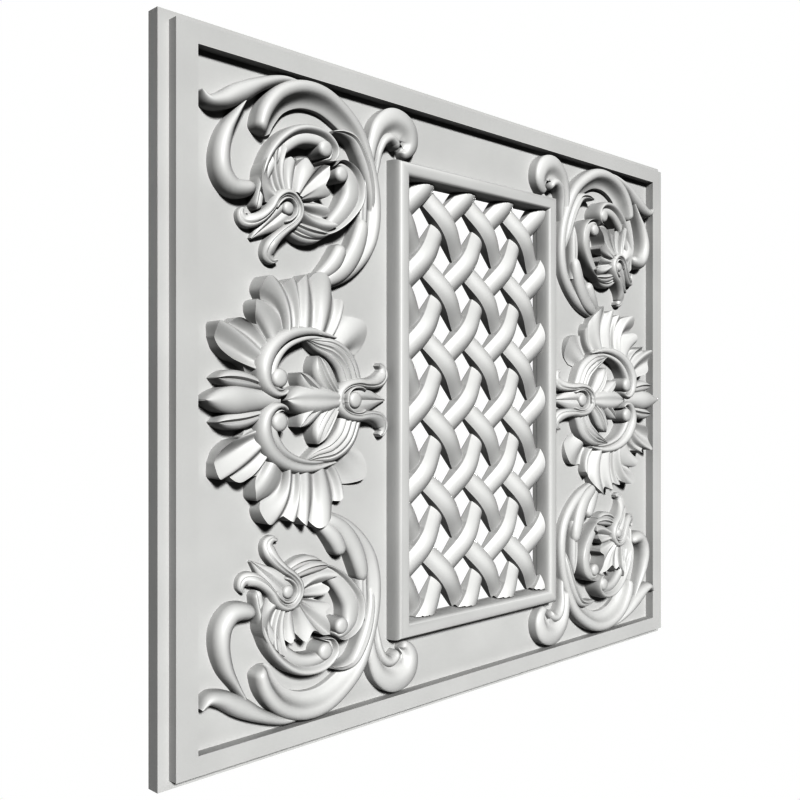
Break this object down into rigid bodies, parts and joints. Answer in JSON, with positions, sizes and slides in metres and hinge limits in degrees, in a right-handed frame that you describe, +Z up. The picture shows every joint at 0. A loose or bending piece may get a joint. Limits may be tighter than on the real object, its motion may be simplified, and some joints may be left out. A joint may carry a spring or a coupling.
{
  "type": "carved fretwork grille",
  "caption": "Flat carved panel with a raised border, a framed window of woven diagonal fretwork, scrolled acanthus corners and side palmettes.",
  "frame": {"origin": "on the back face of the top rail, midway across and midway up the flat over the rebate", "axes": "+Z up, +Y out of the back towards what it is fixed to, +X to the left as seen from behind"},
  "size_m": [0.736, 0.035, 0.6001],
  "materials": {
    "board": "pale grey satin paint on carved wood",
    "frame": "pale grey satin paint on carved wood",
    "lattice": "pale grey satin paint on carved wood",
    "carving": "pale grey satin paint on carved wood"
  },
  "bodies": {
    "root": {"back_board": "board", "border": "frame", "window_moulding": "frame", "lattice": "lattice", "palmette_left": "carving", "palmette_right": "carving", "corner_scroll_top_left": "carving", "corner_scroll_top_right": "carving", "corner_scroll_bottom_left": "carving", "corner_scroll_bottom_right": "carving"}
  },
  "joints": []
}
